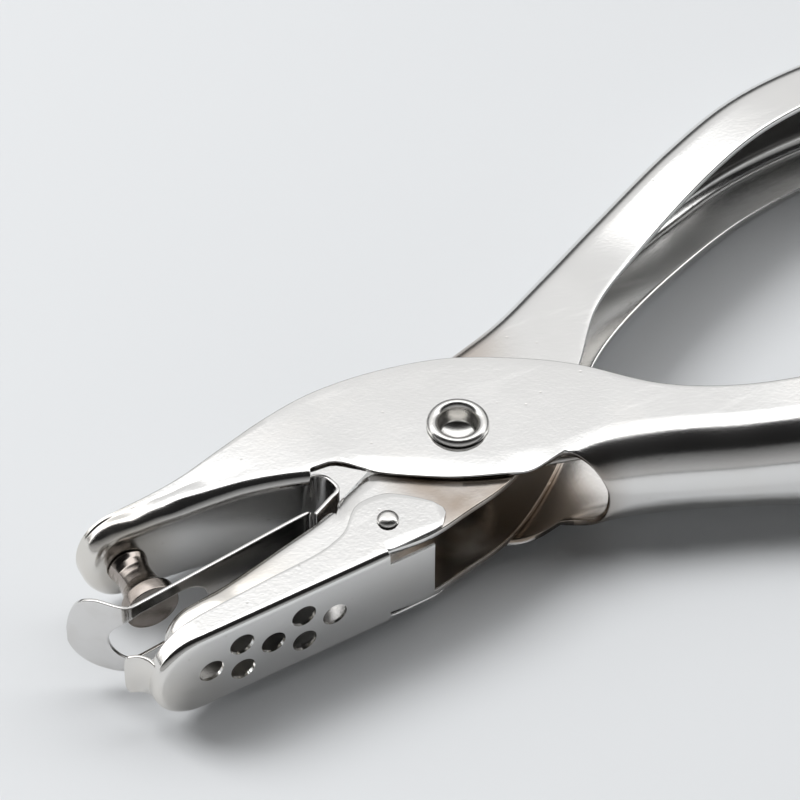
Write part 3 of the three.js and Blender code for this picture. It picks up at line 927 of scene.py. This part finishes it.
def mark_painted_rim_shade(item):
    """Marks the cut edges of a lever's two walls for painted shade: the small faces there that don't face
    sideways.
    """
    mark = item.data.attributes.new("painted_rim_shade", "FLOAT", "FACE")
    for polygon, value in zip(item.data.polygons, mark.data):
        x = polygon.center.x / MM
        from_middle = abs(polygon.center.z / MM - MIDDLE_HEIGHT)
        on_wall = from_middle > WALL_INSIDE and PAINTED_RIM_SHADE_FROM_X < x < PAINTED_RIM_SHADE_TO_X
        in_rim = abs(polygon.normal.z) < SIDEWAYS and polygon.area < RIM_FACE_AREA * MM * MM
        value.value = 1.0 if on_wall and in_rim else 0.0


def add_levers():
    # The brown spot round (2, -5), kept inside the walls, is painted shade in the lever where the levers
    # cross.
    plate = nickel_plate(
        "punch_lever_plate",
        [((-40, 4, 2), 7, 4, STRAW, 0.35, None), ((2, -5, 0), 12, 3, BROWN, 0.85, 5.6)],
        # painted shade on the walls' cut edges
        painted_rim_shade=0.9,
    )
    punch = make_object("upper_jaw_lever", punch_channel.build(RIM), plate)
    pivot_hole = ("Z", (0, 0), RIVET_RADIUS + FIT, -BEYOND, BEYOND)
    cut_bars(punch, [pivot_hole, ("Y", (PIN_X, 0), TENON_HOLE_RADIUS, 0, 6)])
    mark_painted_rim_shade(punch)
    stand_for(punch, "punch_lever", "punch_side")

    # The brown spot round (2, -5) is painted shade where the levers cross; the two SHADE spots are painted
    # shade inside the jaw.
    plate = nickel_plate(
        "die_lever_plate",
        [
            ((-33, -6, 4), 8, 5, STRAW, 0.4, None),
            ((4, 10, 3), 6, 4, BROWN, 0.55, None),
            ((2, -5, 0), 12, 3, BROWN, 0.85, 5.6),
            ((-34, -15, 0), 5.6, 1, SHADE, 0.9, 4.7),
            ((-24, -15, 0), 6.4, 1, SHADE, 0.9, 4.7),
        ],
    )
    die = make_object("lower_jaw_lever", die_channel.build(RIM), plate)
    die_hole = ("Y", (DIE_HOLE_X, 0), PIN_RADIUS + CLEARANCE, -11, -5)
    tray_hole = ("Z", TRAY_RIVET, TRAY_RIVET_HOLE, -BEYOND, BEYOND)
    cut_bars(die, [pivot_hole, die_hole, tray_hole])
    stand_for(die, "die_lever", "die_side")


# ---- Pin ----

def add_pin():
    web_under = punch_channel.point(1, 0, 0)[1] - FIT
    head_base = punch_channel.point(1, SHEET, 0)[1] + 2 * FIT + LEAF
    tenon = TENON_HOLE_RADIUS - FIT
    profile = [
        (0, PIN_TIP_Y + 0.35),
        (PIN_RADIUS - 0.3, PIN_TIP_Y + 0.08),
        (PIN_RADIUS, PIN_TIP_Y),
        (PIN_RADIUS, PIN_TIP_Y + 1.45),
        (PIN_RADIUS - 0.22, PIN_TIP_Y + 1.62),
        (PIN_RADIUS - 0.55, PIN_TIP_Y + 2.1),
        (PIN_RADIUS - 0.85, PIN_TIP_Y + 2.9),
        (NECK_RADIUS + 0.04, PIN_TIP_Y + 3.9),
        (NECK_RADIUS, PIN_TIP_Y + 4.8),
        (NECK_RADIUS + 0.12, PIN_TIP_Y + 5.6),
        (NECK_RADIUS + 0.3, web_under - 0.1),
        (NECK_RADIUS + 0.3, web_under),
        (tenon, web_under),
        (tenon, head_base),
        (2.1, head_base),
        (1.9, head_base + 0.5),
        (1.2, head_base + 0.85),
        (0, head_base + 0.95),
    ]
    steel = worked_steel("pin_steel", (0.40, 0.36, 0.33), 0.14, (0.22, 0.19, 0.165), (0.3, 3, 0.3), 0.6)
    pin = turned("punch_pin_turned", rounded(profile, 0.12), (PIN_X, 0, 0), "Y", steel, 72)
    stand_for(pin, "punch_pin", "punch_side")


# ---- Stripper strip ----

def strip_mesh(centre, width_at, samples, across):
    """A steel strip along a centre line in XY. width_at(x) gives its half width."""
    line = curve_through(centre)
    rows = []
    for i in range(samples + 1):
        share = i / samples
        x, y = line(share)
        ahead = line(min(share + 0.002, 1))
        behind = line(max(share - 0.002, 0))
        tx, ty = ahead[0] - behind[0], ahead[1] - behind[1]
        length = math.hypot(tx, ty)
        rows.append((x, y, -ty / length, tx / length, width_at(x)))
    grids = []
    for side in (0.5, -0.5):
        grid = []
        for x, y, nx, ny, half in rows:
            px = x + nx * side * LEAF
            py = y + ny * side * LEAF
            grid.append([Vector((px, py, half * (1 - 2 * j / across))) for j in range(across + 1)])
        grids.append(grid)

    def kept(i, j):
        return 0 <= i < samples and 0 <= j < across

    return closed_sheet(grids[0], grids[1], kept, (False, False), THIN_RIM)


LIP_START_X = -41.2
LIP_SLOPE = 0.808  # how far towards the nose the lip runs for each millimetre along it
LIP_REACH = 6.08
LIP_TIP_Z = -0.15
LIP_WIDE = 6  # half width of the lip's near side where it is widest
SPREAD = 0.02  # keeps the two sides apart at the tip

ARM_LINE = [
    (HEEL[0] - CLEARANCE, HEEL[1] + 0.05),
    (-19.6, -2.75),
    (-30, -4.3),
    (-39.6, -5.72),
    (-40.6, -5.86),
    (-41.6, -5.55),
    (-43, -4.52),
    (-44.6, -3.33),
    (-46.05, -2.27),
]


def lip_side(along, start, wide, power, squareness):
    """How far one side of the lip's rounded paddle is from its tip line.

    It is wide up to start, in millimetres along the lip, and closes to nothing at the lip's reach.
    """
    share = clamped((along - start) / (LIP_REACH - start))
    return wide * (1 - share ** power) ** squareness


def arm_sides(x):
    """The arm's near and far edges across it, and the line between that its two halves meet on."""
    along = (LIP_START_X - x) / LIP_SLOPE
    near = LIP_TIP_Z + lip_side(along, 2.6, 6.15, 3.2, 0.55)
    near = min(near, lerp(LEAF_HALF, LIP_WIDE, clamped((along + 1.5) / 4.1)))
    far = LIP_TIP_Z - lip_side(along, 0.25, 4.72, 2.6, 0.58)
    middle = LIP_TIP_Z * clamped((along - 2) / 4)
    return near + SPREAD, far - SPREAD, middle


SLOT_HALF = 3.4
SLOT_FRONT = -39.2
SLOT_REAR = -34.6
LEAST_SLOT_HALF = 0.2


def slot_half(x):
    if SLOT_FRONT <= x <= SLOT_REAR:
        return SLOT_HALF
    centre = SLOT_FRONT if x < SLOT_FRONT else SLOT_REAR
    rest = SLOT_HALF ** 2 - (x - centre) ** 2
    return math.sqrt(rest) if rest > 0 else 0


def add_arm(material):
    """The arm is two grids side by side round its slot, joined in front of it and behind it."""
    line = curve_through(ARM_LINE)
    ends = (SLOT_FRONT - SLOT_HALF, SLOT_REAR + SLOT_HALF)
    samples = 420
    candidates = [i / samples for i in range(samples + 1)]
    low, high = sorted(min(candidates, key=lambda share: abs(line(share)[0] - end)) for end in ends)
    shares = []
    for a, b, count in ((0, low, 30), (low, high, 64), (high, 1, 24)):
        shares += [lerp(a, b, k / count) for k in range(count)]
    shares.append(1)
    first = shares.index(low)
    last = shares.index(high)
    across = 9
    grids = []
    for side in (0.5, -0.5):
        grid = []
        for k, share in enumerate(shares):
            x, y = line(share)
            ahead = line(min(share + 0.002, 1))
            behind = line(max(share - 0.002, 0))
            length = math.dist(ahead, behind)
            nx = -(ahead[1] - behind[1]) / length
            ny = (ahead[0] - behind[0]) / length
            inner = max(slot_half(x), LEAST_SLOT_HALF) if first < k < last else 0
            near, far, middle = arm_sides(x)
            px = x + nx * side * LEAF
            py = y + ny * side * LEAF
            row = [Vector((px, py, lerp(near, middle + inner, j / across))) for j in range(across + 1)]
            row += [Vector((px, py, lerp(far, middle - inner, j / across))) for j in range(across, -1, -1)]
            grid.append(row)
        grids.append(grid)

    def kept(i, j):
        if not (0 <= i < len(shares) - 1 and 0 <= j < 2 * across + 1):
            return False
        return j != across or not first <= i < last

    sheet = closed_sheet(grids[0], grids[1], kept, (False, False), THIN_RIM)
    arm = make_object("stripper_leaf", sheet, material)
    stand_for(arm, "stripper_arm", "stripper")


def add_hairpin(material):
    on_web = []
    for u in (0.75, 1, 1.6, 2.2, 3, 3.6):
        x, y, z = punch_channel.point(u, SHEET + FIT + LEAF / 2, 0)
        on_web.append((x, y))
    centre = on_web + [
        (-16.9, 1.7),
        (-15.9, 1.62),
        (-15.0, 0.95),
        (-14.6, -0.1),
        (-14.5, -0.9),
        (-14.85, -1.4),
        (-15.7, -1.8),
        (-17, -2.5),
        (HEEL[0] + 0.15, HEEL[1] - 0.05),
    ]

    def half(x):
        """Half width: narrow beside the pin, wider from there to the fold."""
        return lerp(3.9, 4.8, clamped((x + 31) / 7))

    bm = strip_mesh(centre, half, samples=120, across=12)
    hairpin = make_object("stripper_fold", bm, material)
    cut_bars(hairpin, [("Y", (PIN_X, 0), TENON_HOLE_RADIUS, 0, 8)])
    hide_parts("stripper_hairpin")
    apply_modifiers(hairpin)
    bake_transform(hairpin)


def apply_modifiers(item):
    bpy.context.view_layer.objects.active = item
    for modifier in list(item.modifiers):
        bpy.ops.object.modifier_apply(modifier=modifier.name)


# ---- Rivets and spring ----

def add_pivot(material):
    out = PUNCH_HALF + FIT
    bore = 2.05
    roll_radius = 0.6
    roll_height = 0.58
    steps = 14
    ring = []
    for k in range(steps + 1):
        turn = math.pi * k / steps
        radius = RING_RADIUS - roll_radius + roll_radius * math.cos(turn)
        ring.append((radius, out + 0.12 + roll_height * math.sin(turn)))
    profile = [
        (0, -out - HEAD_HEIGHT),
        (2, -out - HEAD_HEIGHT),
        (2.5, -out - HEAD_HEIGHT + 0.1),
        (RING_RADIUS - 0.4, -out - 0.75),
        (RING_RADIUS, -out - 0.35),
        (RING_RADIUS, -out),
        (RIVET_RADIUS, -out),
        (RIVET_RADIUS, out),
        (RING_RADIUS - 0.1, out),
        *ring,
        (bore, out - 0.5),
        (bore - 0.05, out - 1.55),
        (bore - 0.25, out - 1.75),
        (0, out - 2.25),
    ]
    rivet = turned("pivot_tube_rivet", profile, (0, 0, 0), "Z", material, 96, 50)
    stand_for(rivet, "pivot_rivet", "die_side")


def add_tray_rivets(material):
    for side, node in ((1, "tray_rivet_near"), (-1, "tray_rivet_far")):
        top = TRAY_HALF + FIT
        profile = [
            (0, 3.55),
            (1.1, 3.6),
            (1.1, DIE_HALF - SHEET - FIT),
            (TRAY_RIVET_RADIUS, DIE_HALF - SHEET - FIT),
            (TRAY_RIVET_RADIUS, top),
            (1.15, top),
            (1.15, top + 0.08),
            (1.02, top + 0.3),
            (0.7, top + 0.5),
            (0.35, top + 0.56),
            (0, top + 0.5),
        ]
        rivet = turned(
            node + "_domed", [(r, side * h) for r, h in profile], (*TRAY_RIVET, 0), "Z", material, 48, 50
        )
        stand_for(rivet, node, "die_side")


def add_spring(material):
    wire = 0.9
    coil_radius = RIVET_RADIUS + CLEARANCE + wire / 2 + 0.2
    turns = 3.34
    pitch = wire * 1.35
    start = math.radians(-110)

    def coil(t):
        angle = start - t * turns * 2 * math.pi
        x = math.cos(angle) * coil_radius
        y = math.sin(angle) * coil_radius
        return Vector((x, y, (0.5 - t) * turns * pitch))

    first = coil(0)
    last = coil(1)
    lower = Vector((17.5, -8.2, first.z))
    upper = Vector((18, 13, last.z))
    path = [lower.lerp(first, k / 12) for k in range(12)]
    path += [coil(k / 150) for k in range(151)]
    path += [last.lerp(upper, k / 12) for k in range(1, 13)]
    spring = make_object("return_spring_wire", tube(path, wire / 2, 14), material)
    stand_for(spring, "torsion_spring", "die_side")


def tube(path, radius, sides):
    """A round bar along a path, its ends closed."""
    bm = bmesh.new()
    rings = []
    up = Vector((0, 0, 1))
    for i, p in enumerate(path):
        along = (path[min(i + 1, len(path) - 1)] - path[max(i - 1, 0)]).normalized()
        side = along.cross(up).normalized()
        top = side.cross(along)
        rings.append(
            [
                bm.verts.new(p + side * radius * math.cos(a) + top * radius * math.sin(a))
                for a in (2 * math.pi * k / sides for k in range(sides))
            ]
        )
    for low, high in zip(rings, rings[1:]):
        for k in range(sides):
            bm.faces.new([low[k], low[(k + 1) % sides], high[(k + 1) % sides], high[k]])
    bm.faces.new(list(reversed(rings[0])))
    bm.faces.new(rings[-1])
    return bm


# ---- Chip tray ----

def tray_base(x):
    return -12.9 + 0.062 * (x + 27.6)


TRAY_TOP = [
    (-41.5, -11.7),
    (-38, -11),
    (-34.5, -10.3),
    (-31.5, -9.9),
    (-26, -9.2),
    (-20.5, -8.55),
    (-17.2, -7.4),
    (-15.7, -6),
    (-14.6, -4.85),
    (-13.2, -4.35),
    (-11, -4.45),
    (-9.4, -5.35),
    (-7.8, -6.75),
    (-6.7, -7.9),
    (-6.3, -8.9),
]

TRAY_CUT = [
    (-13.5, -11.5),
    (-10.5, -11.3),
    (-7.8, -11.05),
    (-6.75, -10.5),
    (-6.35, -9.6),
]


THUMB_HALF = 2.85
TONGUE_END = 11.3  # the station where the tongue behind the tray's base ends
TONGUE_SHARE = 0.85  # and how much of the base's width it has
CHIP_HOLE_RADIUS = 1.4
CHIP_HOLE_START_X = -35
CHIP_HOLE_PITCH = 3.6
CHIP_HOLE_ASIDE = 2


def add_tray():
    material = nickel_plate("chip_tray_plate", [((-41, -10, 0), 6, 4, STRAW, 0.25, None)], roughness=0.12)
    stations = [(x, tray_base(x), x, y, TRAY_HALF, 0.8) for x, y in TRAY_TOP]
    tray_channel = Channel(
        stations,
        sheet=TRAY_SHEET,
        nose_reach=5.5,
        window_start=8.5,
        window_end=99,
        cut=TRAY_CUT,
        arch_reach=0.1,
        keep_web=lambda u, share, turn: u < TONGUE_END and turn > 1.5 and share < TONGUE_SHARE,
    )
    tray = make_object("chip_tray_pressed", tray_channel.build(THIN_RIM), material)
    holes = []
    for i in range(5):
        for z in (-CHIP_HOLE_ASIDE, CHIP_HOLE_ASIDE) if i % 2 else (0,):
            x = CHIP_HOLE_START_X + CHIP_HOLE_PITCH * i
            holes.append(("Y", (x, z), CHIP_HOLE_RADIUS, -16, -10))
    holes.append(("Z", TRAY_RIVET, TRAY_RIVET_HOLE, -BEYOND, BEYOND))
    cut_bars(tray, holes)
    stand_for(tray, "chip_tray", "tray")
    add_thumb_lip(material)


def add_thumb_lip(material):
    """A small flange bent outwards from the top of the tray's rounded nose wall."""
    rows = 16
    across = 24
    grids = []
    for side in (0.5, -0.5):
        grid = []
        for i in range(rows + 1):
            t = i / rows
            row = []
            for j in range(across + 1):
                z = THUMB_HALF * (1 - 2 * j / across)
                corner = abs(z / THUMB_HALF) ** 6
                nose_x = -41.5 + 5.5 * (1 - math.sqrt(1 - (z / TRAY_HALF) ** 2))
                base = Vector((nose_x + 0.2, -12.3, z))
                bend = Vector((nose_x - 0.05, -10.35, z))
                end = Vector((-43.05 + 0.5 * corner, -9.75 - 0.25 * corner, z))
                point = base * (1 - t) ** 2 + bend * 2 * t * (1 - t) + end * t * t
                along = ((bend - base) * (1 - t) + (end - bend) * t).normalized()
                row.append(point + Vector((-along.y, along.x, 0)) * side * TRAY_SHEET)
            grid.append(row)
        grids.append(grid)

    def kept(i, j):
        return 0 <= i < rows and 0 <= j < across

    sheet = closed_sheet(grids[0], grids[1], kept, (False, False), THUMB_RIM)
    lip = make_object("chip_tray_thumb_lip", sheet, material)
    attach(lip, "tray")


# ---- The whole ----

bpy.context.scene.view_settings.view_transform = "Standard"
add_camera()
add_floor()
add_studio()
add_lamp("key", (-0.5, 0.55, 0.9), (0, 0, 0), 0.5, 9)
add_levers()
add_pin()
leaf_steel = worked_steel("leaf_steel", (0.76, 0.75, 0.74), 0.12, (0.62, 0.6, 0.57), (0.2, 1, 2), 0.35)
add_arm(leaf_steel)
add_hairpin(leaf_steel)
rivet_plate = nickel_plate("rivet_plate", roughness=0.24, colour=(0.74, 0.73, 0.71))
add_pivot(rivet_plate)
add_tray_rivets(rivet_plate)
add_spring(worked_steel("wire_steel", (0.5, 0.49, 0.47), 0.25, (0.3, 0.27, 0.24), marks=(1, 1, 0.3)))
add_tray()
